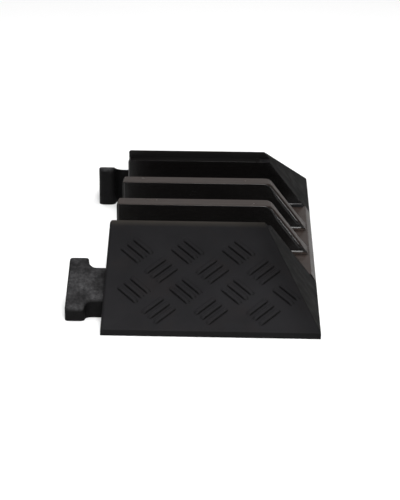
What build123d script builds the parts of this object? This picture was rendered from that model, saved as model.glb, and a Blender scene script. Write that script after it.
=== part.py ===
from build123d import *
import os
from math import acos, cos, pi, radians, sin, sqrt, tan

# End ramp of a three-channel rubber cable protector. The side ramps, the channel floor,
# the two divider walls and the two T-shaped connector tongues are separate mouldings,
# screwed together from below. +X runs along the channels towards the sloped end, +Y
# runs across them towards the rear ramp, +Z is up, and the origin is on the ground at
# the middle of the whole part's footprint. Lengths are in millimetres, angles in degrees.

# Overall size
overall_length = 250.0
overall_width = 500.0
overall_height = 75.0
tongue_reach = 39.0

# Ramps and channel section
lip_height = 6.0
ramp_angle = 29.5
end_angle = 52.0
apron_angle = 59.0
seat_height = 67.0
seat_depth = 14.5
wall_y = 112.5
floor_thickness = 14.5
divider_thickness = 21.0
divider_y = 39.0
cove_radius = 4.0
cove_toe = 0.5

# Edge rounding of the mouldings
crest_round = 12.0
ramp_round = 4.0
slope_edge_round = 3.0
divider_round = 2.0
divider_shoulder_round = 9.0
divider_end_round = 3.0

# Raised tread bars, in groups of three that lean left and right in turn
tread_pitch = 25.25
tread_first_row = 24.3
tread_rows = 4
bar_length = 28.5
bar_width = 4.6
bar_height = 1.2
bar_sunk = 0.4
bar_spacing = 8.4
bar_flank = 25.0
hip_clearance = 4.0

# Connector tongues
head_inner_y = 151.5
head_outer_y = 215.0
head_thickness = 20.5
neck_inner_step = 16.0
neck_outer_step = 10.5
tongue_inner_height = 49.0
tongue_outer_height = 11.5
tongue_crown_round = 6.0
head_corner_round = 4.0
inner_neck_cove = 8.0
outer_neck_cove = 6.0
root_length = 48.0
root_width = 56.0
root_thickness = 14.0

# Hidden joints between the mouldings
flange_width = 26.0
key_width = 15.0
key_depth = 3.0
joint_start_inset = 16.0
joint_end_inset = 30.0

# M8 fixings: button-head screw, plain washer and moulded-in threaded insert
screw_diameter = 8.0
screw_length = 20.0
screw_tip_chamfer = 0.8
head_diameter = 14.0
head_height = 4.4
head_rim = 1.2
crown_sagitta = 0.5
socket_flats = 5.0
socket_depth = 2.6
washer_diameter = 16.0
washer_bore = 8.4
washer_thickness = 1.6
washer_chamfer = 0.3
clearance_bore = 9.0
counterbore_diameter = 18.0
head_recess = 1.5
insert_diameter = 12.0
insert_length = 18.0
insert_thread_depth = 17.0
insert_groove_width = 2.0
insert_groove_depth = 0.7
wall_fixing_x = (-55.0, 10.0, 75.0)
root_fixing_inset = (13.0, 35.0)

# Derived places
x_end = overall_length / 2
x_tip = -overall_length / 2
x_joint = x_tip + tongue_reach
y_foot = overall_width / 2
step_y = wall_y + seat_depth
joint_start = x_joint + joint_start_inset
joint_end = x_end - joint_end_inset
shank_start = head_recess + head_height
seat_z = shank_start + washer_thickness
tongue_y = (head_inner_y + head_outer_y) / 2
SIDES = {"front": -1, "rear": 1}


def end_x(height):
    """X of the sloped end plane at a height."""
    return x_end - (height - lip_height) / tan(radians(end_angle))


def crest_points():
    """Rounded top of a ramp in (y, z): its peak at the step, mid-arc, and where the slope starts."""
    pitch = radians(ramp_angle)
    run = y_foot - step_y
    rise = overall_height - lip_height
    # How far the peak lies below the straight slope sets how much of the arc is needed.
    drop = run * sin(pitch) - rise * cos(pitch)
    start = pitch - acos(1 - drop / crest_round)
    centre_y = step_y - crest_round * sin(start)
    centre_z = overall_height - crest_round * cos(start)
    angles = (start, (start + pitch) / 2, pitch)
    return [(centre_y + crest_round * sin(t), centre_z + crest_round * cos(t)) for t in angles]


def box_between(x0, x1, y0, y1, z0, z1):
    """Box from its lowest and highest coordinates."""
    low_y, high_y = min(y0, y1), max(y0, y1)
    return Pos(x0, low_y, z0) * Box(x1 - x0, high_y - low_y, z1 - z0, align=(Align.MIN,) * 3)


def length_profile(height, shoulder_round=0.0, start_round=0.0):
    """Side outline of a moulding of this height, cut by the sloped end, as a YZ-wide solid."""
    outline = Polyline(
        (x_joint, 0, 0),
        (x_end, 0, 0),
        (x_end, 0, lip_height),
        (end_x(height), 0, height),
        (x_joint, 0, height),
        close=True,
    )
    face = make_face(outline)
    if shoulder_round:
        face = fillet(face.vertices().filter_by(lambda v: v.X > 0 and v.Z > lip_height), shoulder_round)
    if start_round:
        face = fillet(face.vertices().filter_by(lambda v: v.X < 0 and v.Z > 0), start_round)
    return extrude(face, amount=y_foot + 1, dir=(0, 1, 0), both=True)


# ---------------------------------------------------------------- fixings


def fixing_places(side=None, kind="wall"):
    """Centre lines (x, y) of the screws of one joint."""
    if kind == "wall":
        return [(x, SIDES[side] * (wall_y + flange_width / 2)) for x in wall_fixing_x]
    if kind == "divider":
        return [(x, SIDES[side] * divider_y) for x in wall_fixing_x]
    return [(x_joint + inset, SIDES[side] * tongue_y) for inset in root_fixing_inset]


def insert_body():
    """Outer shape of a threaded insert standing on Z = 0, with two retention grooves."""
    radius = insert_diameter / 2
    body = Cylinder(radius, insert_length, align=(Align.CENTER, Align.CENTER, Align.MIN))
    ring = Cylinder(radius, insert_groove_width) - Cylinder(radius - insert_groove_depth, insert_groove_width)
    for fraction in (1 / 3, 2 / 3):
        body -= Pos(0, 0, insert_length * fraction) * ring
    return body


def threaded_insert():
    """Insert with its threaded hole, open at the bottom."""
    hole = Cylinder(screw_diameter / 2, insert_thread_depth, align=(Align.CENTER, Align.CENTER, Align.MIN))
    return insert_body() - hole


def button_screw():
    """Button-head screw pointing up, with the crown of its head on Z = 0."""
    head_radius = head_diameter / 2
    shank_radius = screw_diameter / 2
    tip = head_height + screw_length
    blank = Polyline(
        (head_radius, 0, head_height - head_rim),
        (head_radius, 0, head_height),
        (shank_radius, 0, head_height),
        (shank_radius, 0, tip - screw_tip_chamfer),
        (shank_radius - screw_tip_chamfer, 0, tip),
        (0, 0, tip),
        (0, 0, 0),
        (socket_flats / 2, 0, 0),
    )
    rim_z = head_height - head_rim
    rim_to_socket = head_radius - socket_flats / 2
    bulge = crown_sagitta / sqrt(rim_to_socket**2 + rim_z**2)
    crown_middle = ((head_radius + socket_flats / 2) / 2 + bulge * rim_z, 0, rim_z / 2 - bulge * rim_to_socket)
    blank += ThreePointArc((head_radius, 0, rim_z), crown_middle, (socket_flats / 2, 0, 0))
    socket = extrude(RegularPolygon(socket_flats / sqrt(3), 6), amount=socket_depth)
    return revolve(make_face(blank), Axis.Z) - socket


def washer():
    """Plain washer standing on Z = 0."""
    align = (Align.CENTER, Align.CENTER, Align.MIN)
    ring = Cylinder(washer_diameter / 2, washer_thickness, align=align)
    ring -= Cylinder(washer_bore / 2, washer_thickness, align=align)
    return chamfer(ring.edges().group_by(Axis.Z)[-1].sort_by(SortBy.RADIUS)[-1:], washer_chamfer)


def screw_hole(thickness):
    """Counterbored clearance hole through a moulding that is this thick."""
    align = (Align.CENTER, Align.CENTER, Align.MIN)
    return Cylinder(counterbore_diameter / 2, seat_z, align=align) + Cylinder(
        clearance_bore / 2, thickness, align=align
    )


def drill(body, tool, places, height=0.0):
    """Cut one tool from a body at each place."""
    for x, y in places:
        body -= Pos(x, y, height) * tool
    return body


def group(piece, places, height):
    """Identical pieces at several places, as separate solids."""
    return Compound(children=[Pos(x, y, height) * piece for x, y in places])


# ---------------------------------------------------------------- mouldings


def bar_solid():
    """One raised tread bar: a slot with sloping flanks, its long axis along X."""
    base = Pos(0, 0, -bar_sunk) * SlotOverall(bar_length, bar_width)
    return extrude(base, amount=bar_height + bar_sunk, taper=bar_flank)


def tread_bars(side):
    """All tread bars of one ramp, placed on its sloping face."""
    bar = bar_solid()
    pitch = radians(ramp_angle)
    diagonal = cos(radians(45))
    half_reach = bar_length / 2 * diagonal
    face = Plane(origin=(0, -y_foot, lip_height), x_dir=(1, 0, 0), z_dir=(0, -sin(pitch), cos(pitch)))
    bars = []
    for row in range(tread_rows):
        lean = -1 if row % 2 else 1
        first_column = -3 if row % 2 else -2
        for column in range(first_column, 4, 2):
            for step in (-1, 0, 1):
                x = (x_joint + x_end) / 2 + column * tread_pitch + step * bar_spacing * diagonal
                up = tread_first_row + row * tread_pitch - lean * step * bar_spacing * diagonal
                right_end_height = lip_height + (up + lean * half_reach) * sin(pitch)
                if x + half_reach < end_x(right_end_height) - hip_clearance:
                    bars.append(face * Pos(x, up, 0) * Rot(0, 0, 45 * lean) * bar)
    if SIDES[side] > 0:
        bars = [mirror(piece, about=Plane.XZ) for piece in bars]
    return bars


def is_outer_edge(edge):
    """Hip and foot edges of a ramp: the ones that a wheel or a shoe meets."""
    size = edge.bounding_box().size
    middle = edge.center()
    hip = min(size.X, size.Y) > 0.5 and abs(middle.Y) > step_y
    foot = abs(middle.Z - lip_height) < 0.01
    return hip or foot


def is_slope_edge(edge):
    """Edge between a ramp's end slope and its channel wall."""
    size = edge.bounding_box().size
    return abs(abs(edge.center().Y) - wall_y) < 0.6 and min(size.X, size.Z) > seat_depth


def ramp(side):
    """Side ramp: wedge with a lid seat, tread bars, a flange pocket and a tongue-root pocket."""
    sign = SIDES[side]
    arc_mid = cove_radius * (1 - cos(pi / 4))
    toe_z = floor_thickness + cove_toe
    crest = [(x_joint, sign * y, z) for y, z in crest_points()]
    outline = Polyline(
        (x_joint, sign * wall_y, 0),
        (x_joint, sign * y_foot, 0),
        (x_joint, sign * y_foot, lip_height),
        crest[2],
    )
    outline += ThreePointArc(crest[2], crest[1], crest[0])
    outline += Polyline(
        crest[0],
        (x_joint, sign * step_y, seat_height),
        (x_joint, sign * wall_y, seat_height),
        (x_joint, sign * wall_y, toe_z + cove_radius),
    )
    outline += ThreePointArc(
        (x_joint, sign * wall_y, toe_z + cove_radius),
        (x_joint, sign * (wall_y - arc_mid), toe_z + arc_mid),
        (x_joint, sign * (wall_y - cove_radius), toe_z),
    )
    outline += Polyline(
        (x_joint, sign * (wall_y - cove_radius), toe_z),
        (x_joint, sign * (wall_y - cove_radius), floor_thickness),
        (x_joint, sign * wall_y, floor_thickness),
        (x_joint, sign * wall_y, 0),
    )
    body = extrude(make_face(outline), amount=x_end - x_joint, dir=(1, 0, 0))
    body &= length_profile(overall_height + 1)
    body = fillet(body.edges().filter_by(is_outer_edge), ramp_round)
    body = fillet(body.edges().filter_by(is_slope_edge), slope_edge_round)
    for bar in tread_bars(side):
        body += bar
    pocket_y = wall_y + flange_width
    body -= box_between(joint_start, joint_end, sign * (wall_y - 1), sign * pocket_y, -1, floor_thickness)
    root_y = (tongue_y - root_width / 2, tongue_y + root_width / 2)
    body -= box_between(
        x_joint - 1, x_joint + root_length, sign * root_y[0], sign * root_y[1], -1, root_thickness
    )
    body = drill(body, insert_body(), fixing_places(side), floor_thickness)
    return drill(body, insert_body(), fixing_places(side, "tongue"), root_thickness)


def channel_floor():
    """Floor of the three channels, its bevelled apron and the flanges under the ramps."""
    outline = Polyline(
        (x_joint, 0, 0),
        (x_end, 0, 0),
        (x_end, 0, lip_height),
        (x_end - (floor_thickness - lip_height) / tan(radians(apron_angle)), 0, floor_thickness),
        (x_joint, 0, floor_thickness),
        close=True,
    )
    floor = extrude(make_face(outline), amount=wall_y, dir=(0, 1, 0), both=True)
    for side, sign in SIDES.items():
        floor += box_between(
            joint_start, joint_end, sign * wall_y, sign * (wall_y + flange_width), 0, floor_thickness
        )
        key = (sign * divider_y - key_width / 2, sign * divider_y + key_width / 2)
        floor -= box_between(joint_start, joint_end, *key, floor_thickness - key_depth, floor_thickness + 1)
        hole = screw_hole(floor_thickness)
        floor = drill(floor, hole, fixing_places(side))
        floor = drill(floor, hole, fixing_places(side, "divider"))
    return floor


def divider(side):
    """Wall between two channels, with coved feet, rounded top edges and a key below."""
    sign = SIDES[side]
    half = divider_thickness / 2
    arc_mid = cove_radius * (1 - cos(pi / 4))
    toe_z = floor_thickness + cove_toe
    outline = Polyline(
        (x_joint, half, toe_z + cove_radius),
        (x_joint, half, seat_height),
        (x_joint, -half, seat_height),
        (x_joint, -half, toe_z + cove_radius),
    )
    for edge in (1, -1):
        outline += ThreePointArc(
            (x_joint, edge * half, toe_z + cove_radius),
            (x_joint, edge * (half + arc_mid), toe_z + arc_mid),
            (x_joint, edge * (half + cove_radius), toe_z),
        )
        outline += Line(
            (x_joint, edge * (half + cove_radius), toe_z),
            (x_joint, edge * (half + cove_radius), floor_thickness),
        )
    outline += Line(
        (x_joint, half + cove_radius, floor_thickness),
        (x_joint, -half - cove_radius, floor_thickness),
    )
    wall = extrude(make_face(outline), amount=x_end - x_joint, dir=(1, 0, 0))
    wall &= length_profile(seat_height, divider_shoulder_round, divider_end_round)
    top = wall.edges().filter_by(
        lambda e: abs(abs(e.center().Y) - half) < 0.01 and e.bounding_box().max.Z > toe_z + cove_radius + 1
    )
    wall = fillet(top.filter_by(lambda e: e.center().X > x_joint + 0.01), divider_round)
    wall += box_between(
        joint_start, joint_end, -key_width / 2, key_width / 2, floor_thickness - key_depth, floor_thickness
    )
    wall = Pos(0, sign * divider_y, 0) * wall
    return drill(wall, insert_body(), fixing_places(side, "divider"), floor_thickness - key_depth)


def connector_tongue(side):
    """T-shaped tongue that drops into the next section, with a root plate under the ramp."""
    sign = SIDES[side]
    neck_x = x_tip + head_thickness
    inner_neck = head_inner_y + neck_inner_step
    outer_neck = head_outer_y - neck_outer_step
    plan = make_face(
        Polyline(
            (x_tip, head_inner_y),
            (neck_x, head_inner_y),
            (neck_x, inner_neck),
            (x_joint, inner_neck),
            (x_joint, outer_neck),
            (neck_x, outer_neck),
            (neck_x, head_outer_y),
            (x_tip, head_outer_y),
            close=True,
        )
    )
    for corner_y, radius in ((inner_neck, inner_neck_cove), (outer_neck, outer_neck_cove)):
        cove = plan.vertices().filter_by(lambda v: abs(v.X - neck_x) < 0.01 and abs(v.Y - corner_y) < 0.01)
        plan = fillet(cove, radius)
    corners = plan.vertices().filter_by(lambda v: v.Y < head_inner_y + 1 or v.Y > head_outer_y - 1)
    plan = fillet(corners, head_corner_round)
    tongue = extrude(plan, amount=tongue_inner_height, dir=(0, 0, 1))
    wedge = make_face(
        Polyline(
            (x_tip, head_inner_y, 0),
            (x_tip, head_outer_y, 0),
            (x_tip, head_outer_y, tongue_outer_height),
            (x_tip, head_inner_y, tongue_inner_height),
            close=True,
        )
    )
    wedge = fillet(wedge.vertices().sort_by(Axis.Z)[-1:], tongue_crown_round)
    tongue &= extrude(wedge, amount=tongue_reach, dir=(1, 0, 0))
    root_y = (tongue_y - root_width / 2, tongue_y + root_width / 2)
    tongue += box_between(x_joint, x_joint + root_length, *root_y, 0, root_thickness)
    if sign < 0:
        tongue = mirror(tongue, about=Plane.XZ)
    return drill(tongue, screw_hole(root_thickness), fixing_places(side, "tongue"))


def fixings():
    """Screws, washers and inserts of each kind of joint, grouped by what they hold."""
    nodes = {}
    insert_height = {
        "wall": floor_thickness,
        "divider": floor_thickness - key_depth,
        "tongue": root_thickness,
    }
    names = {"wall": "ramp", "divider": "divider", "tongue": "tongue"}
    for kind, name in names.items():
        places = [place for side in SIDES for place in fixing_places(side, kind)]
        nodes[name + "_screws"] = group(button_screw(), places, head_recess)
        nodes[name + "_washers"] = group(washer(), places, shank_start)
        nodes[name + "_inserts"] = group(threaded_insert(), places, insert_height[kind])
    return nodes


def build():
    """Every node of the assembly, by name."""
    nodes = {"channel_floor": channel_floor()}
    for side in SIDES:
        nodes[side + "_ramp"] = ramp(side)
        nodes[side + "_divider"] = divider(side)
        nodes[side + "_connector_tongue"] = connector_tongue(side)
    nodes.update(fixings())
    return nodes


os.makedirs("parts", exist_ok=True)
for node_name, shape in build().items():
    export_step(shape, os.path.join("parts", node_name + ".step"))
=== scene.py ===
"""Looks of the cable protector end ramp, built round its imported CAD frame.

Mesh code works in millimetres, in the frame's own axes: +X along the cable channels to
the sloped end, +Y across them to the rear, +Z up. make_object turns it into metres.
Every mirrored pair is modelled as its rear piece and reflected for the front.
"""
from math import acos, atan2, cos, degrees, pi, radians, sin, sqrt, tan

import bmesh
import bpy
from mathutils import Matrix, Vector


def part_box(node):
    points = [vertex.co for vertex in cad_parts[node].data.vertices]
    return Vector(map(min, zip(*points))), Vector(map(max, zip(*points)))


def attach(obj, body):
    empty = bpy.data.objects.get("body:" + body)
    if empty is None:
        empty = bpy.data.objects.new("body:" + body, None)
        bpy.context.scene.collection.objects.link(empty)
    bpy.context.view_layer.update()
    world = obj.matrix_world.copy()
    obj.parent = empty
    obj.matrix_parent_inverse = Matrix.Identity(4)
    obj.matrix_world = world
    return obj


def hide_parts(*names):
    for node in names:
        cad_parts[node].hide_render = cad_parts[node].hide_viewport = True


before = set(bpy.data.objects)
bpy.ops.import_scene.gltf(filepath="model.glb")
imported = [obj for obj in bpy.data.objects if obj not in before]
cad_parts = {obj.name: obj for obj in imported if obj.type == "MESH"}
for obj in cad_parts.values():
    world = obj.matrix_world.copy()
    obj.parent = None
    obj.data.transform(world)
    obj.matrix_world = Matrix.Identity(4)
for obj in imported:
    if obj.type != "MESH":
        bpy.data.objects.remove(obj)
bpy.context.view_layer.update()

MM = 0.001
SIDES = {"front": -1, "rear": 1}


def box_mm(node):
    """Lowest and highest corner of a CAD node, in millimetres."""
    low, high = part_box(node)
    return Vector(low) / MM, Vector(high) / MM


# ------------------------------------------------------------------ sizes from the frame

ramp_low, ramp_high = box_mm("rear_ramp")
floor_high = box_mm("channel_floor")[1]
divider_low, divider_high = box_mm("rear_divider")
tongue_low, tongue_high = box_mm("rear_connector_tongue")

JOINT_X = ramp_low.x
END_X = ramp_high.x
FOOT_Y = ramp_high.y
CREST_Z = ramp_high.z
FLOOR_Z = floor_high.z
FLANGE_Y = floor_high.y
SEAT_Z = divider_high.z
DIVIDER_Y = (divider_low.y + divider_high.y) / 2
TIP_X = tongue_low.x
ROOT_X = tongue_high.x
HEAD_Y = (tongue_low.y, tongue_high.y)

# ------------------------------------------------------------------ sizes of the mouldings

COVE = 4.0
COVE_TOE = 0.5
WALL_Y = ramp_low.y + COVE
SEAT_DEPTH = 14.5
LIP_Z = 6.0
RAMP_ANGLE = radians(29.5)
END_ANGLE = radians(52.0)
APRON_ANGLE = radians(59.0)
DIVIDER_HALF = (divider_high.y - divider_low.y) / 2 - COVE
STEP_Y = WALL_Y + SEAT_DEPTH
CREST_ROUND = 12.0

FLANGE_X = (JOINT_X + 16.0, END_X - 30.0)
KEY_WIDTH = 15.0
KEY_DEPTH = 3.0

HEAD_THICKNESS = 19.5
HEAD_SETBACK = 1.0
NECK_INNER_STEP = 16.0
NECK_OUTER_STEP = 10.5
TONGUE_INNER_Z = 49.0
TONGUE_OUTER_Z = 11.5
TONGUE_CROWN = 6.0
TONGUE_EDGE = 2.4
INNER_HEAD_CORNER = 6.5
OUTER_HEAD_CORNER = 4.2
NECK_INNER_COVE = 8.4
NECK_OUTER_COVE = 6.2
ROOT_WIDTH = 56.0
ROOT_Z = 14.0

WALL_FIXING_X = (-55.0, 10.0, 75.0)
ROOT_FIXING_X = (JOINT_X + 13.0, JOINT_X + 35.0)
COUNTERBORE_RADIUS = 9.0
COUNTERBORE_Z = 7.5
CLEARANCE_RADIUS = 4.5
INSERT_RADIUS = 6.0
INSERT_LENGTH = 18.0

TREAD_PITCH = 25.25
TREAD_FIRST_ROW = 24.3
TREAD_ROWS = 4
BAR_LENGTH = 28.5
BAR_SPACING = 8.4
HIP_CLEARANCE = 4.0
# Rings of one tread bar, from its buried skirt to its crown: (height, half width, shorter by).
BAR_RINGS = (
    (-0.5, 2.5, 0.0),
    (0.0, 2.45, 0.1),
    (0.8, 2.1, 1.5),
    (1.25, 1.75, 2.9),
    (1.52, 1.3, 4.3),
    (1.62, 0.7, 5.8),
)


def end_x(height):
    """X of the sloped end plane at a height."""
    return END_X - (height - LIP_Z) / tan(END_ANGLE)


# ------------------------------------------------------------------ mesh helpers

BORE_SEGMENTS = 48
CORNER_SEGMENTS = 6
EDGE_SEGMENTS = 8
SHARP_ANGLE = radians(32.0)


def steps(total, count, skip_first=False):
    """Evenly spaced values from 0 to a total."""
    return [total * i / count for i in range(1 if skip_first else 0, count + 1)]


def arc(centre, radius, start, stop, count):
    """Points of a circular arc in a plane, from one angle to another in degrees."""
    points = []
    for turn in steps(stop - start, count):
        angle = radians(start + turn)
        points.append((centre[0] + radius * cos(angle), centre[1] + radius * sin(angle)))
    return points


def loft(bm, outlines):
    """Add a closed skin through outlines that all have the same number of points."""
    rings = [[bm.verts.new(point) for point in outline] for outline in outlines]
    for low, high in zip(rings, rings[1:]):
        for i in range(len(low)):
            j = (i + 1) % len(low)
            bm.faces.new((low[i], low[j], high[j], high[i]))
    bm.faces.new(rings[0])
    bm.faces.new(rings[-1])


def prism(outline, axis, start, stop):
    """Closed bmesh of a plane outline extruded along X, Y or Z."""
    place = {
        "X": lambda a, b, t: Vector((t, a, b)),
        "Y": lambda a, b, t: Vector((a, t, b)),
        "Z": lambda a, b, t: Vector((a, b, t)),
    }[axis]
    bm = bmesh.new()
    loft(bm, [[place(a, b, t) for a, b in outline] for t in (start, stop)])
    bmesh.ops.recalc_face_normals(bm, faces=bm.faces[:])
    return bm


def slice_off(bm, point, normal):
    """Remove what lies beyond a plane, and close the cut."""
    geometry = bm.verts[:] + bm.edges[:] + bm.faces[:]
    bmesh.ops.bisect_plane(bm, geom=geometry, plane_co=point, plane_no=normal, clear_outer=True, dist=1e-4)
    open_edges = [edge for edge in bm.edges if edge.is_boundary]
    bmesh.ops.holes_fill(bm, edges=open_edges, sides=0)
    bmesh.ops.recalc_face_normals(bm, faces=bm.faces[:])


def weight_edges(bm, width_of):
    """Store each edge's bevel width as a share of the widest, and return the widest."""
    layer = bm.edges.layers.float.new("bevel_weight_edge")
    widths = {edge: width_of(edge) for edge in bm.edges if edge.is_manifold}
    widest = max(widths.values())
    for edge, width in widths.items():
        edge[layer] = width / widest
    return widest


def make_object(name, bm, side=1):
    """Object in metres from a bmesh in millimetres, reflected for the front side."""
    bmesh.ops.transform(bm, matrix=Matrix.Diagonal((MM, MM * side, MM, 1.0)), verts=bm.verts)
    bmesh.ops.recalc_face_normals(bm, faces=bm.faces[:])
    mesh = bpy.data.meshes.new(name)
    bm.to_mesh(mesh)
    bm.free()
    thing = bpy.data.objects.new(name, mesh)
    bpy.context.collection.objects.link(thing)
    return thing


def apply_modifiers(thing):
    """Turn an object's modifiers into its mesh."""
    graph = bpy.context.evaluated_depsgraph_get()
    mesh = bpy.data.meshes.new_from_object(thing.evaluated_get(graph))
    mesh.name = thing.name
    thing.modifiers.clear()
    thing.data = mesh


def bevel(thing, widest, segments):
    """Round the weighted edges of an object."""
    modifier = thing.modifiers.new("bevel", "BEVEL")
    modifier.limit_method = "WEIGHT"
    modifier.width = widest * MM
    modifier.segments = segments
    modifier.miter_outer = "MITER_ARC"
    apply_modifiers(thing)


def combine(thing, tools, operation):
    """Boolean one object with several, which are used up."""
    for tool in tools:
        modifier = thing.modifiers.new("boolean", "BOOLEAN")
        modifier.operation = operation
        modifier.solver = "EXACT"
        modifier.object = tool
        apply_modifiers(thing)
        bpy.data.objects.remove(tool)


def smooth(thing):
    """Smooth shading that keeps flat faces flat and corners sharp."""
    bm = bmesh.new()
    bm.from_mesh(thing.data)
    for face in bm.faces:
        face.smooth = True
    for edge in bm.edges:
        edge.smooth = len(edge.link_faces) == 2 and edge.calc_face_angle(0.0) < SHARP_ANGLE
    bm.to_mesh(thing.data)
    bm.free()
    modifier = thing.modifiers.new("normals", "WEIGHTED_NORMAL")
    modifier.keep_sharp = True
    apply_modifiers(thing)


def box_tool(x, y, z, side=1):
    """Cutting or joining block from its coordinate ranges."""
    outline = [(x[0], y[0]), (x[1], y[0]), (x[1], y[1]), (x[0], y[1])]
    return make_object("tool_block", prism(outline, "Z", z[0], z[1]), side)


def round_tool(places, radius, low, high, side=1):
    """Row of upright cylinders as one tool."""
    bm = bmesh.new()
    for x, y in places:
        bmesh.ops.create_cone(
            bm,
            cap_ends=True,
            segments=BORE_SEGMENTS,
            radius1=radius,
            radius2=radius,
            depth=high - low,
            matrix=Matrix.Translation((x, y, (low + high) / 2)),
        )
    return make_object("tool_bores", bm, side)


def finish_piece(thing, node, material):
    """Dress a finished moulding and let it stand for its CAD node."""
    thing.data.materials.clear()
    thing.data.materials.append(material)
    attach(thing, "root")
    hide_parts(node)


def wall_fixings(y):
    """Screw centres in a row along the channels."""
    return [(x, y) for x in WALL_FIXING_X]


def root_fixings():
    """Screw centres through a tongue's root plate."""
    return [(x, sum(HEAD_Y) / 2) for x in ROOT_FIXING_X]


# ------------------------------------------------------------------ side ramps

FACE_NORMALS = {
    "tread": Vector((0, sin(RAMP_ANGLE), cos(RAMP_ANGLE))),
    "end": Vector((sin(END_ANGLE), 0, cos(END_ANGLE))),
    "apron": Vector((sin(APRON_ANGLE), 0, cos(APRON_ANGLE))),
    "top": Vector((0, 0, 1)),
    "wall": Vector((0, -1, 0)),
    "lip": Vector((0, 1, 0)),
    "toe": Vector((1, 0, 0)),
    "joint": Vector((-1, 0, 0)),
    "ground": Vector((0, 0, -1)),
}
RAMP_BEVELS = {
    ("end", "tread"): 4.2,
    ("top", "wall"): 1.0,
    ("end", "top"): 4.2,
    ("end", "wall"): 3.4,
    ("lip", "tread"): 1.5,
    ("end", "toe"): 1.2,
    ("lip", "toe"): 2.0,
    ("ground", "toe"): 0.5,
}
FLOOR_BEVELS = {
    ("apron", "top"): 1.0,
    ("apron", "toe"): 0.8,
    ("ground", "toe"): 0.5,
    ("joint", "top"): 1.5,
}
JOINT_ROUND = 3.0
CREST_FACETS = 3


def face_kind(face, kinds):
    """Name of the kind of face whose normal this one has, loosely on the rounded crest, or nothing."""
    kind = max(kinds, key=lambda name: face.normal.dot(FACE_NORMALS[name]))
    along_x = abs(face.normal.x - FACE_NORMALS[kind].x) < 0.05
    on_crest = along_x and face.calc_center_median().z > SEAT_Z + 1
    limit = 0.95 if on_crest else 0.999
    return kind if face.normal.dot(FACE_NORMALS[kind]) > limit else ""


def bevel_width(edge, widths):
    """Bevel width of an edge, looked up by the two kinds of face that it joins."""
    if edge.calc_face_angle_signed(0.0) <= 0:
        return 0.0
    kinds = {kind for pair in widths for kind in pair}
    pair = tuple(sorted(face_kind(face, kinds) for face in edge.link_faces))
    return widths.get(pair, 0.0)


def crest_points():
    """Rounded top of a ramp in (y, z), from where the slope starts to its peak at the step."""
    run = FOOT_Y - STEP_Y
    rise = CREST_Z - LIP_Z
    # How far the peak lies below the straight slope sets how much of the arc is needed.
    drop = run * sin(RAMP_ANGLE) - rise * cos(RAMP_ANGLE)
    start = RAMP_ANGLE - acos(1 - drop / CREST_ROUND)
    centre = (STEP_Y - CREST_ROUND * sin(start), CREST_Z - CREST_ROUND * cos(start))
    return arc(centre, CREST_ROUND, 90 - degrees(RAMP_ANGLE), 90 - degrees(start), CREST_FACETS)


def bar_mesh(bm, place):
    """One raised tread bar: a rounded ridge with a buried skirt, its long axis along X."""
    rings = []
    for height, half_width, shorter in BAR_RINGS:
        reach = BAR_LENGTH / 2 - shorter - half_width
        outline = arc((reach, 0), half_width, -90, 90, EDGE_SEGMENTS)
        outline += arc((-reach, 0), half_width, 90, 270, EDGE_SEGMENTS)
        rings.append([place @ Vector((x, y, height)) for x, y in outline])
    loft(bm, rings)


def tread_bars(side):
    """All tread bars of one ramp, as one tool."""
    bm = bmesh.new()
    diagonal = cos(radians(45))
    half_reach = BAR_LENGTH / 2 * diagonal
    slope = Matrix.Translation((0, FOOT_Y, LIP_Z)) @ Matrix.Rotation(-RAMP_ANGLE, 4, "X")
    for row in range(TREAD_ROWS):
        lean = -1 if row % 2 else 1
        first_column = -3 if row % 2 else -2
        for column in range(first_column, 4, 2):
            for step in (-1, 0, 1):
                x = (JOINT_X + END_X) / 2 + column * TREAD_PITCH + step * BAR_SPACING * diagonal
                up = TREAD_FIRST_ROW + row * TREAD_PITCH - lean * step * BAR_SPACING * diagonal
                right_end_z = LIP_Z + (up + lean * half_reach) * sin(RAMP_ANGLE)
                if x + half_reach < end_x(right_end_z) - HIP_CLEARANCE:
                    turn = Matrix.Rotation(radians(-45 * lean), 4, "Z")
                    bar_mesh(bm, slope @ Matrix.Translation((x, -up, 0)) @ turn)
    bmesh.ops.recalc_face_normals(bm, faces=bm.faces[:])
    return make_object("tool_bars", bm, side)


def cove_strip(side):
    """Concave foot along a ramp's inner wall, a little short of both ends, as one tool."""
    top = FLOOR_Z + COVE_TOE + COVE
    outline = arc((WALL_Y - COVE, top), COVE, 0, -90, CORNER_SEGMENTS)
    outline += [(WALL_Y - COVE, FLOOR_Z), (WALL_Y + 1, FLOOR_Z), (WALL_Y + 1, top)]
    bm = prism(outline, "X", JOINT_X + 1, END_X)
    slice_off(bm, (END_X - 1, 0, LIP_Z), FACE_NORMALS["end"])
    return make_object("tool_cove", bm, side)


def drawn_in(outline, inset):
    """Ramp outline moved inwards by an inset, which fades out at the ground."""
    moved = []
    for i, (y, z) in enumerate(outline):
        before = Vector(outline[i]) - Vector(outline[i - 1])
        after = Vector(outline[(i + 1) % len(outline)]) - Vector(outline[i])
        sides = [Vector((-along.y, along.x)).normalized() for along in (before, after)]
        mitre = (sides[0] + sides[1]) / (1 + sides[0].dot(sides[1]))
        moved.append(Vector((y, z)) + mitre * inset * min(1.0, z / LIP_Z))
    return moved


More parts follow.
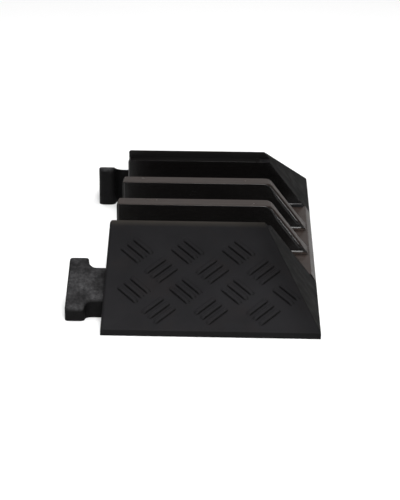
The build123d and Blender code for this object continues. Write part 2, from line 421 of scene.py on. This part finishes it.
def ramp_wedge():
    """Bare ramp: its section run along X, rounded at the joining end and cut by the sloped end."""
    outline = [(WALL_Y, 0), (FOOT_Y, 0), (FOOT_Y, LIP_Z)] + crest_points()
    outline += [(STEP_Y, SEAT_Z), (WALL_Y, SEAT_Z), (WALL_Y, FLOOR_Z)]
    rings = []
    for angle in steps(pi / 2, 5):
        x, inset = JOINT_X + JOINT_ROUND * (1 - cos(angle)), JOINT_ROUND * (1 - sin(angle))
        rings.append([(x, y, z) for y, z in drawn_in(outline, inset)])
    rings.append([(END_X, y, z) for y, z in outline])
    bm = bmesh.new()
    loft(bm, rings)
    bmesh.ops.recalc_face_normals(bm, faces=bm.faces[:])
    slice_off(bm, (END_X, 0, LIP_Z), FACE_NORMALS["end"])
    return bm


def build_ramp(side_name, material):
    """Side ramp with its lid seat, tread bars, coved foot and the pockets under it."""
    side = SIDES[side_name]
    bm = ramp_wedge()
    widest = weight_edges(bm, lambda edge: bevel_width(edge, RAMP_BEVELS))
    ramp = make_object(side_name + "_ramp_moulding", bm, side)
    bevel(ramp, widest, 4)
    combine(ramp, [tread_bars(side), cove_strip(side)], "UNION")
    root_y = [sum(HEAD_Y) / 2 + sign * ROOT_WIDTH / 2 for sign in (-1, 1)]
    flange_fixings = wall_fixings((WALL_Y + FLANGE_Y) / 2)
    pockets = [
        box_tool(FLANGE_X, (WALL_Y - 1, FLANGE_Y), (-1, FLOOR_Z), side),
        box_tool((JOINT_X - 1, ROOT_X), root_y, (-1, ROOT_Z), side),
        round_tool(flange_fixings, INSERT_RADIUS, FLOOR_Z - 1, FLOOR_Z + INSERT_LENGTH, side),
        round_tool(root_fixings(), INSERT_RADIUS, ROOT_Z - 1, ROOT_Z + INSERT_LENGTH, side),
    ]
    combine(ramp, pockets, "DIFFERENCE")
    smooth(ramp)
    finish_piece(ramp, side_name + "_ramp", material)


# ------------------------------------------------------------------ channel floor


def build_floor(material):
    """Floor of the channels, with its bevelled apron, flanges, key slots and screw holes."""
    apron_x = END_X - (FLOOR_Z - LIP_Z) / tan(APRON_ANGLE)
    outline = [(JOINT_X, 0), (END_X, 0), (END_X, LIP_Z), (apron_x, FLOOR_Z), (JOINT_X, FLOOR_Z)]
    bm = prism(outline, "Y", -WALL_Y, WALL_Y)
    widest = weight_edges(bm, lambda edge: bevel_width(edge, FLOOR_BEVELS))
    floor = make_object("channel_floor_moulding", bm)
    bevel(floor, widest, 3)
    for side in SIDES.values():
        flange = box_tool(FLANGE_X, (WALL_Y - 1, FLANGE_Y), (0, FLOOR_Z), side)
        combine(floor, [flange], "UNION")
        key_y = (DIVIDER_Y - KEY_WIDTH / 2, DIVIDER_Y + KEY_WIDTH / 2)
        places = wall_fixings((WALL_Y + FLANGE_Y) / 2) + wall_fixings(DIVIDER_Y)
        cuts = [
            box_tool(FLANGE_X, key_y, (FLOOR_Z - KEY_DEPTH, FLOOR_Z + 1), side),
            round_tool(places, COUNTERBORE_RADIUS, -1, COUNTERBORE_Z, side),
            round_tool(places, CLEARANCE_RADIUS, 1, FLOOR_Z + 1, side),
        ]
        combine(floor, cuts, "DIFFERENCE")
    smooth(floor)
    finish_piece(floor, "channel_floor", material)


# ------------------------------------------------------------------ divider walls

DIVIDER_TOP_ROUND = 0.9
DIVIDER_SLOPE_ROUND = 5.0
DIVIDER_SHOULDER = 9.0
DIVIDER_START_ROUND = 3.0
DIVIDER_END_ROUND = 3.0


def blend(t):
    """Smooth step from 0 to 1."""
    t = max(0.0, min(1.0, t))
    return t * t * (3 - 2 * t)


def divider_height(x):
    """Height of a divider's top above the floor: rounded start, flat, shoulder, slope."""
    full = SEAT_Z - FLOOR_Z
    reach = DIVIDER_SHOULDER * tan(END_ANGLE / 2)
    corner = end_x(SEAT_Z)
    from_start = x - JOINT_X
    if from_start < DIVIDER_START_ROUND:
        rest = DIVIDER_START_ROUND - from_start
        return full - DIVIDER_START_ROUND + sqrt(max(0.0, DIVIDER_START_ROUND**2 - rest**2))
    if x <= corner - reach:
        return full
    if x < corner + reach * cos(END_ANGLE):
        along = x - (corner - reach)
        return full - DIVIDER_SHOULDER + sqrt(DIVIDER_SHOULDER**2 - along**2)
    return max(COVE_TOE, (end_x(FLOOR_Z) - x) * tan(END_ANGLE))


def divider_half(x):
    """Half thickness of a divider, drawn in where its joining end is rounded."""
    rest = max(0.0, DIVIDER_END_ROUND - (x - JOINT_X))
    return DIVIDER_HALF - DIVIDER_END_ROUND + sqrt(DIVIDER_END_ROUND**2 - rest**2)


def divider_section(x):
    """Outline of a divider at one station: cove, side, rounded edge and top, both sides."""
    height = divider_height(x)
    half = divider_half(x)
    sloping = blend((x - end_x(SEAT_Z) + DIVIDER_SHOULDER) / (2 * DIVIDER_SHOULDER))
    edge_round = DIVIDER_TOP_ROUND + (DIVIDER_SLOPE_ROUND - DIVIDER_TOP_ROUND) * sloping
    toe = min(COVE_TOE, height)
    cove = min(COVE, 0.6 * (height - toe))
    full_rise = edge_round * (1 + sloping * (1 / cos(END_ANGLE) - 1))
    rise = min(full_rise, height - toe - cove)
    edge_round *= rise / full_rise
    side = [(half + COVE, 0.0), (half + COVE, toe)]
    for a in steps(pi / 2, CORNER_SEGMENTS):
        side.append((half + cove - cove * sin(a), toe + cove - cove * cos(a)))
    for a in steps(pi / 2, EDGE_SEGMENTS):
        side.append((half - edge_round * (1 - cos(a)), height - rise * (1 - sin(a))))
    return [(y, FLOOR_Z + z) for y, z in side] + [(-y, FLOOR_Z + z) for y, z in reversed(side)]


def stations():
    """Places along a divider where a section is drawn, closer together at its curves."""
    tail = end_x(FLOOR_Z) - 0.4
    shoulder = end_x(SEAT_Z) - DIVIDER_SHOULDER
    places = [JOINT_X + DIVIDER_END_ROUND * (1 - cos(a)) for a in steps(pi / 2, EDGE_SEGMENTS)]
    flat_start = JOINT_X + DIVIDER_END_ROUND
    places += [flat_start + d for d in steps(shoulder - flat_start, 24, skip_first=True)]
    places += [shoulder + d for d in steps(tail - shoulder, 44, skip_first=True)]
    return places


def build_divider(side_name, material):
    """Divider wall lofted along the channel, with its key and insert pockets below."""
    side = SIDES[side_name]
    bm = bmesh.new()
    loft(bm, [[(x, DIVIDER_Y + y, z) for y, z in divider_section(x)] for x in stations()])
    bmesh.ops.recalc_face_normals(bm, faces=bm.faces[:])
    divider = make_object(side_name + "_divider_moulding", bm, side)
    key_y = (DIVIDER_Y - KEY_WIDTH / 2, DIVIDER_Y + KEY_WIDTH / 2)
    key_z = (FLOOR_Z - KEY_DEPTH, FLOOR_Z + 1)
    combine(divider, [box_tool(FLANGE_X, key_y, key_z, side)], "UNION")
    bores = round_tool(
        wall_fixings(DIVIDER_Y), INSERT_RADIUS, key_z[0] - 1, key_z[0] + INSERT_LENGTH, side
    )
    combine(divider, [bores], "DIFFERENCE")
    smooth(divider)
    finish_piece(divider, side_name + "_divider", material)


# ------------------------------------------------------------------ connector tongues


def tongue_plan(inset):
    """Plan outline of a T-shaped tongue drawn in by an inset, with round head corners and neck coves."""
    tip_x = TIP_X + HEAD_SETBACK + inset
    neck_x = TIP_X + HEAD_SETBACK + HEAD_THICKNESS - inset
    inner, outer = HEAD_Y[0] + inset, HEAD_Y[1] - inset
    neck_inner, neck_outer = HEAD_Y[0] + NECK_INNER_STEP + inset, HEAD_Y[1] - NECK_OUTER_STEP - inset
    corner, cove = INNER_HEAD_CORNER - inset, NECK_INNER_COVE + inset
    points = arc((tip_x + corner, inner + corner), corner, 180, 270, CORNER_SEGMENTS)
    points += arc((neck_x - corner, inner + corner), corner, 270, 360, CORNER_SEGMENTS)
    points += arc((neck_x + cove, neck_inner - cove), cove, 180, 90, CORNER_SEGMENTS)
    points += [(JOINT_X + 1, neck_inner), (JOINT_X + 1, neck_outer)]
    corner, cove = OUTER_HEAD_CORNER - inset, NECK_OUTER_COVE + inset
    points += arc((neck_x + cove, neck_outer + cove), cove, 270, 180, CORNER_SEGMENTS)
    points += arc((neck_x - corner, outer - corner), corner, 0, 90, CORNER_SEGMENTS)
    points += arc((tip_x + corner, outer - corner), corner, 90, 180, CORNER_SEGMENTS)
    return points


def tongue_top(y):
    """Height of a tongue's top: a slope that falls outwards, with a round crown on its inner side."""
    inner, outer = HEAD_Y
    fall = (TONGUE_INNER_Z - TONGUE_OUTER_Z) / (outer - inner)
    slope = atan2(fall, 1)
    if y > inner + TONGUE_CROWN * (1 + sin(slope)):
        return TONGUE_INNER_Z - fall * (y - inner)
    centre_z = TONGUE_INNER_Z - fall * TONGUE_CROWN - TONGUE_CROWN / cos(slope)
    return centre_z + sqrt(max(0.0, TONGUE_CROWN**2 - (inner + TONGUE_CROWN - y) ** 2))


def build_tongue(side_name, material):
    """T-shaped tongue with its sloping, round-edged top and its root plate under the ramp."""
    side = SIDES[side_name]
    inner, outer = HEAD_Y
    bm = bmesh.new()
    # Heights below the sloping top; the first ring stands for the ground and is set last.
    rings = [[(x, y, -outer) for x, y in tongue_plan(0)]]
    for angle in steps(pi / 2, 4):
        inset, drop = TONGUE_EDGE * (1 - cos(angle)), TONGUE_EDGE * (1 - sin(angle))
        rings.append([(x, y, -drop) for x, y in tongue_plan(inset)])
    loft(bm, rings)
    for step in steps(TONGUE_CROWN * 1.6, 12, skip_first=True):
        geometry = bm.verts[:] + bm.edges[:] + bm.faces[:]
        cut = (0, inner + step, 0)
        bmesh.ops.bisect_plane(bm, geom=geometry, plane_co=cut, plane_no=(0, 1, 0), dist=1e-4)
    for vert in bm.verts:
        vert.co.z = 0.0 if vert.co.z < -TONGUE_EDGE - 1 else vert.co.z + tongue_top(vert.co.y)
    bmesh.ops.recalc_face_normals(bm, faces=bm.faces[:])
    tongue = make_object(side_name + "_tongue_moulding", bm, side)
    root_y = [(inner + outer) / 2 + sign * ROOT_WIDTH / 2 for sign in (-1, 1)]
    combine(tongue, [box_tool((JOINT_X, ROOT_X), root_y, (0, ROOT_Z), side)], "UNION")
    cuts = [
        round_tool(root_fixings(), COUNTERBORE_RADIUS, -1, COUNTERBORE_Z, side),
        round_tool(root_fixings(), CLEARANCE_RADIUS, 1, ROOT_Z + 1, side),
    ]
    combine(tongue, cuts, "DIFFERENCE")
    smooth(tongue)
    finish_piece(tongue, side_name + "_connector_tongue", material)


# ------------------------------------------------------------------ materials


class Graph:
    """Short way to write a material's node tree."""

    def __init__(self, name):
        self.material = bpy.data.materials.new(name)
        self.material.use_nodes = True
        self.tree = self.material.node_tree
        self.shader = self.tree.nodes["Principled BSDF"]

    def link(self, source, target):
        self.tree.links.new(source, target)

    def node(self, kind, settings=None, **inputs):
        """Node of a kind, with its properties and its input values or links."""
        node = self.tree.nodes.new(kind)
        for key, value in (settings or {}).items():
            setattr(node, key, value)
        for key, value in inputs.items():
            target = node.inputs[key.replace("_", " ")]
            if isinstance(value, bpy.types.NodeSocket):
                self.link(value, target)
            else:
                target.default_value = value
        return node

    def place(self, stretch=(1, 1, 1)):
        """Object coordinates, stretched along the axes."""
        coordinates = self.node("ShaderNodeTexCoord").outputs["Object"]
        return self.node("ShaderNodeMapping", Vector=coordinates, Scale=stretch).outputs["Vector"]

    def noise(self, size, detail=4.0, roughness=0.55, stretch=(1, 1, 1)):
        """Fractal noise whose features are about this many millimetres across."""
        vector = self.place(stretch)
        scale = 1 / (size * MM)
        made = self.node(
            "ShaderNodeTexNoise", Vector=vector, Scale=scale, Detail=detail, Roughness=roughness
        )
        return made.outputs["Fac"]

    def remap(self, value, low, high, to_low, to_high):
        """Clamped linear change of range."""
        made = self.node("ShaderNodeMapRange", Value=value)
        for key, number in zip(("From Min", "From Max", "To Min", "To Max"), (low, high, to_low, to_high)):
            made.inputs[key].default_value = number
        return made.outputs["Result"]

    def mix(self, factor, first, second):
        """Colour mix by a factor; each colour is a socket or an RGB triple."""
        made = self.node("ShaderNodeMix", {"data_type": "RGBA"})
        self.link(factor, made.inputs[0])
        for index, colour in ((6, first), (7, second)):
            if isinstance(colour, bpy.types.NodeSocket):
                self.link(colour, made.inputs[index])
            else:
                made.inputs[index].default_value = (*colour, 1.0)
        return made.outputs[2]

    def mix_value(self, factor, first, second):
        """Mix of two values by a factor; the second one is a number."""
        made = self.node("ShaderNodeMix")
        self.link(factor, made.inputs[0])
        self.link(first, made.inputs[2])
        made.inputs[3].default_value = second
        return made.outputs[0]

    def math(self, operation, first, second):
        """Arithmetic on two values."""
        made = self.node("ShaderNodeMath", {"operation": operation})
        for index, value in enumerate((first, second)):
            if isinstance(value, bpy.types.NodeSocket):
                self.link(value, made.inputs[index])
            else:
                made.inputs[index].default_value = value
        return made.outputs[0]

    def bump(self, layers):
        """Chain of bump layers, each (height, depth in millimetres)."""
        normal = None
        for height, depth in layers:
            made = self.node("ShaderNodeBump", Height=height, Strength=1.0, Distance=depth * MM)
            if normal is not None:
                self.link(normal, made.inputs["Normal"])
            normal = made.outputs["Normal"]
        self.link(normal, self.shader.inputs["Normal"])

    def facing(self, axis, low=0.2, high=0.9):
        """0 where the normal's share along the axis is at the first limit, 1 at the second one."""
        normal = self.node("ShaderNodeNewGeometry").outputs["Normal"]
        share = self.node("ShaderNodeSeparateXYZ", Vector=normal).outputs[axis]
        return self.remap(share, low, high, 0.0, 1.0)

    def painted_corner_shade(self, reach, depth, own=True):
        """Painted shade: 1 on open surfaces, falling by the depth in corners narrower than the reach.

        Corners count when one piece makes them itself, or with own False between pieces too.
        """
        settings = {"samples": 8, "only_local": own}
        made = self.node("ShaderNodeAmbientOcclusion", settings, Distance=reach * MM)
        return self.remap(made.outputs["AO"], 0.35, 0.95, 1.0 - depth, 1.0)

    def shade(self, colour, factor):
        """Colour multiplied by a factor."""
        settings = {"operation": "SCALE"}
        return self.node("ShaderNodeVectorMath", settings, Vector=colour, Scale=factor).outputs["Vector"]


def ramp_rubber():
    """Matt black moulded rubber: fine grain, cloudy tone, glossier and blacker beside the channels, with
    painted shade on steep and end faces, up the slope, near the hip and in corners.
    """
    g = Graph("ramp_rubber")
    place = g.node("ShaderNodeSeparateXYZ", Vector=g.place())
    end_normal = g.node("ShaderNodeVectorMath", {"operation": "DOT_PRODUCT"}, Vector=g.place())
    end_normal.inputs[1].default_value = FACE_NORMALS["end"]
    to_end = end_normal.outputs["Value"]
    end_plane = (END_X * sin(END_ANGLE) + LIP_Z * cos(END_ANGLE)) * MM

    # Masks: the dusty crest, and the glossy faces beside the channels except the ledge's far end.
    crest = g.remap(place.outputs["Z"], (CREST_Z - 3.6) * MM, (CREST_Z - 0.6) * MM, 0.0, 1.0)
    crest = g.math("MULTIPLY", crest, g.facing("X", 0.45, 0.05))
    across = g.math("ABSOLUTE", place.outputs["Y"], 0.0)
    inside = g.remap(across, (STEP_Y - 0.4) * MM, (STEP_Y + 0.4) * MM, 1.0, 0.0)
    inside = g.math("MULTIPLY", inside, g.facing("X", 0.78, 0.70))
    along_ledge = g.remap(to_end, end_plane - 10 * MM, end_plane - 6 * MM, 1.0, 0.0)
    inside = g.math("MULTIPLY", inside, g.math("MAXIMUM", along_ledge, g.facing("Z", 0.6, 0.4)))

    # Colour: painted shade, darker on steep faces, on the sloped end, up the slope, towards the hip and in
    # corners.
    # Painted shade: steep faces get a darker copy of the rubber than faces turned up.
    base = g.mix(g.facing("Z"), (0.0058, 0.0057, 0.0060), (0.0126, 0.0122, 0.0133))
    warm = g.remap(g.noise(24, 3), 0.50, 0.72, 0.0, 0.7)
    base = g.mix(g.math("MULTIPLY", warm, g.facing("Z")), base, (0.0138, 0.0122, 0.0126))
    # Painted shade: faces turned towards the sloped end get a darker copy too.
    base = g.mix(g.facing("X", 0.2, 0.7), base, (0.0080, 0.0077, 0.0075))
    base = g.mix(crest, base, (0.0310, 0.0275, 0.0240))
    base = g.mix(inside, base, (0.0046, 0.0042, 0.0041))
    tone = g.remap(g.noise(38, 3), 0.32, 0.70, 0.84, 1.05)
    # Painted shade: darker up the slope, and darker still towards the hip.
    painted_height_shade = g.remap(place.outputs["Z"], 10 * MM, 68 * MM, 1.04, 0.80)
    painted_hip_shade = g.remap(to_end, end_plane - 26 * MM, end_plane - 5 * MM, 1.0, 0.64)
    painted_slope_shade = g.math("MULTIPLY", painted_height_shade, painted_hip_shade)
    # Painted shade in the corners also darkens the colour.
    base = g.shade(base, g.math("MULTIPLY", g.math("MULTIPLY", tone, painted_slope_shade), g.painted_corner_shade(2.4, 0.6)))
    g.link(base, g.shader.inputs["Base Color"])

    matt = g.remap(g.noise(14, 5), 0.3, 0.7, 0.52, 0.66)
    g.link(g.mix_value(inside, matt, 0.25), g.shader.inputs["Roughness"])
    outer_gloss = g.remap(g.facing("X"), 0.0, 1.0, 0.08, 0.0)
    g.link(g.mix_value(inside, outer_gloss, 0.30), g.shader.inputs["Specular IOR Level"])
    g.bump(((g.noise(30, 2), 0.25), (g.noise(0.9, 3), 0.04)))
    return g.material


def channel_rubber():
    """Semi-gloss black moulded rubber with flow lines, brownish where dust lies on it, the dust faded to
    black by painted shade in corners and beside neighbouring pieces.
    """
    g = Graph("channel_rubber")
    tone = g.remap(g.noise(34, 3, 0.55, (0.5, 1, 1)), 0.35, 0.68, 0, 1)
    base = g.mix(tone, (0.0052, 0.0048, 0.0047), (0.0066, 0.0061, 0.0059))
    sloped_end = g.facing("X", 0.5, 0.75)
    lying = g.math("MAXIMUM", g.facing("Z", 0.3, 0.95), g.math("MULTIPLY", sloped_end, 0.7))
    dust_and_corner_shade = g.math("MULTIPLY", g.remap(g.noise(11, 6, 0.6), 0.3, 0.75, 0.6, 1.0), lying)
    # Painted shade: the dust fades out in corners and beside neighbouring pieces, leaving the rubber black
    # there.
    dust_and_corner_shade = g.math("MULTIPLY", dust_and_corner_shade, g.painted_corner_shade(9, 0.9, own=False))
    g.link(g.mix(dust_and_corner_shade, base, (0.0290, 0.0190, 0.0150)), g.shader.inputs["Base Color"])
    sheen = g.remap(g.noise(9, 5, 0.6, (0.4, 1, 1)), 0.3, 0.72, 0.20, 0.28)
    joint_end = g.facing("X", -0.25, -0.75)
    worn = g.math("ADD", g.math("MULTIPLY", joint_end, 0.4), g.math("MULTIPLY", sloped_end, 0.15))
    g.link(g.math("ADD", sheen, worn), g.shader.inputs["Roughness"])
    gloss = g.remap(g.math("MAXIMUM", joint_end, sloped_end), 0.0, 1.0, 0.34, 0.05)
    g.link(gloss, g.shader.inputs["Specular IOR Level"])
    g.bump(((g.noise(26, 2), 0.12), (g.noise(1.3, 3), 0.010)))
    return g.material


def tongue_rubber():
    """Scuffed rubber of the tongues: soft clouds of grey dust and fine specks over black on upward faces,
    with painted shade in corners.
    """
    g = Graph("tongue_rubber")
    clouds = g.remap(g.noise(17, 4, 0.55), 0.36, 0.66, 0.12, 0.85)
    specks = g.remap(g.noise(3.2, 4, 0.6), 0.34, 0.66, 0.45, 1.3)
    worn = g.math("MULTIPLY", g.math("MULTIPLY", clouds, specks), g.facing("Z"))
    base = g.mix(worn, (0.0040, 0.0039, 0.0041), (0.055, 0.054, 0.056))
    # Painted shade in corners darkens the colour.
    g.link(g.shade(base, g.painted_corner_shade(5.0, 0.55)), g.shader.inputs["Base Color"])
    g.link(g.remap(g.noise(5, 5), 0.3, 0.7, 0.5, 0.72), g.shader.inputs["Roughness"])
    g.shader.inputs["Specular IOR Level"].default_value = 0.08
    g.bump(((g.noise(9, 4), 0.4), (g.noise(0.8, 3), 0.05)))
    return g.material


def metal(name, colour, roughness, streaks):
    """Turned metal with fine streaks and a little tarnish."""
    g = Graph(name)
    dull = tuple(channel * 0.55 for channel in colour)
    tarnish = g.remap(g.noise(2.5, 5), 0.45, 0.75, 0, 0.7)
    g.link(g.mix(tarnish, colour, dull), g.shader.inputs["Base Color"])
    uneven = g.remap(g.noise(1.2, 4), 0.3, 0.7, roughness - 0.08, roughness + 0.1)
    g.link(uneven, g.shader.inputs["Roughness"])
    g.shader.inputs["Metallic"].default_value = 1.0
    g.bump(((g.noise(streaks, 2, 0.5, (1, 1, 6)), 0.01),))
    return g.material


def dress_fixings():
    """The fixings keep their CAD shapes and get metal finishes."""
    zinc = metal("zinc_steel", (0.60, 0.61, 0.60), 0.32, 0.5)
    brass = metal("insert_brass", (0.66, 0.48, 0.20), 0.30, 0.4)
    for name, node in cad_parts.items():
        if name.endswith(("_screws", "_washers", "_inserts")):
            node.data.materials.clear()
            node.data.materials.append(brass if name.endswith("_inserts") else zinc)


# ------------------------------------------------------------------ studio

# Camera place in metres, angles in degrees and lens in millimetres.
CAMERA_PLACE = (0.0552, -1.6685, 0.5967)
CAMERA_TILT = 19.707
CAMERA_PAN = 1.851
CAMERA_ROLL = 0.287
CAMERA_LENS = 115.98


def build_camera():
    """Long-lens camera in front of the ramp, looking down on it."""
    data = bpy.data.cameras.new("camera")
    data.lens = CAMERA_LENS
    data.sensor_width = 36.0
    data.clip_end = 50.0
    camera = bpy.data.objects.new("camera", data)
    bpy.context.collection.objects.link(camera)
    turn = Matrix.Rotation(radians(CAMERA_PAN), 4, "Z")
    turn @= Matrix.Rotation(radians(90 - CAMERA_TILT), 4, "X")
    turn @= Matrix.Rotation(radians(CAMERA_ROLL), 4, "Z")
    camera.matrix_world = Matrix.Translation(CAMERA_PLACE) @ turn
    bpy.context.scene.camera = camera


def area_light(name, place, size, power, glossy):
    """Rectangular softbox aimed at the middle of the part."""
    data = bpy.data.lights.new(name, "AREA")
    data.shape = "RECTANGLE"
    data.size, data.size_y = size
    data.energy = power
    light = bpy.data.objects.new(name, data)
    bpy.context.collection.objects.link(light)
    light.location = place
    aim = Vector((0, 0, CREST_Z / 2 * MM)) - Vector(place)
    light.rotation_mode = "QUATERNION"
    light.rotation_quaternion = aim.to_track_quat("-Z", "Y")
    light.visible_glossy = glossy


def build_floor_plane():
    """Pale studio floor."""
    g = Graph("studio_floor")
    tone = g.remap(g.noise(400, 2), 0.3, 0.7, 0, 1)
    g.link(g.mix(tone, (0.93, 0.93, 0.93), (0.95, 0.95, 0.95)), g.shader.inputs["Base Color"])
    g.shader.inputs["Roughness"].default_value = 0.9
    g.shader.inputs["Specular IOR Level"].default_value = 0.1
    bm = bmesh.new()
    bmesh.ops.create_grid(bm, x_segments=8, y_segments=8, size=6.0 / MM)
    floor = make_object("studio_floor", bm)
    floor.data.materials.append(g.material)


# The surround's level at two heights, and the share of it that is left on the camera's side.
SKY_STOPS = ((0.35, 0.30), (0.7, 0.28))
SKY_FRONT_SHARE = 0.35


def build_world():
    """Soft surround, brightest behind the part and a little dimmer overhead."""
    world = bpy.data.worlds.new("studio")
    world.use_nodes = True
    tree = world.node_tree
    background = tree.nodes["Background"]
    coordinates = tree.nodes.new("ShaderNodeTexCoord")
    split = tree.nodes.new("ShaderNodeSeparateXYZ")
    tree.links.new(coordinates.outputs["Generated"], split.inputs["Vector"])
    ramp = tree.nodes.new("ShaderNodeValToRGB")
    tree.links.new(split.outputs["Z"], ramp.inputs["Fac"])
    for element, (position, level) in zip(ramp.color_ramp.elements, SKY_STOPS):
        element.position = position
        element.color = (level, level, level, 1.0)
    share = tree.nodes.new("ShaderNodeMapRange")
    share.inputs["From Min"].default_value = -0.3
    share.inputs["From Max"].default_value = 0.5
    share.inputs["To Min"].default_value = SKY_FRONT_SHARE
    tree.links.new(split.outputs["Y"], share.inputs["Value"])
    tree.links.new(ramp.outputs["Color"], background.inputs["Color"])
    tree.links.new(share.outputs["Result"], background.inputs["Strength"])
    bpy.context.scene.world = world


# Name, place, size, power, and whether reflections show it.
LIGHTS = (
    ("overhead_fill", (0.0, 0.4, 3.0), (3.5, 3.5), 110.0, False),
    ("key_softbox", (0.2, -1.45, 1.25), (0.6, 1.2), 24.0, True),
    ("edge_strip", (2.1, -1.15, 0.84), (0.35, 0.25), 7.0, True),
)


def build_studio():
    """Camera, lights, floor and surround."""
    build_camera()
    build_world()
    build_floor_plane()
    for light in LIGHTS:
        area_light(*light)
    bpy.context.scene.view_settings.view_transform = "Standard"


# ------------------------------------------------------------------ assembly

ramp_material = ramp_rubber()
channel_material = channel_rubber()
tongue_material = tongue_rubber()
build_floor(channel_material)
for side_name in SIDES:
    build_ramp(side_name, ramp_material)
    build_divider(side_name, channel_material)
    build_tongue(side_name, tongue_material)
dress_fixings()
build_studio()
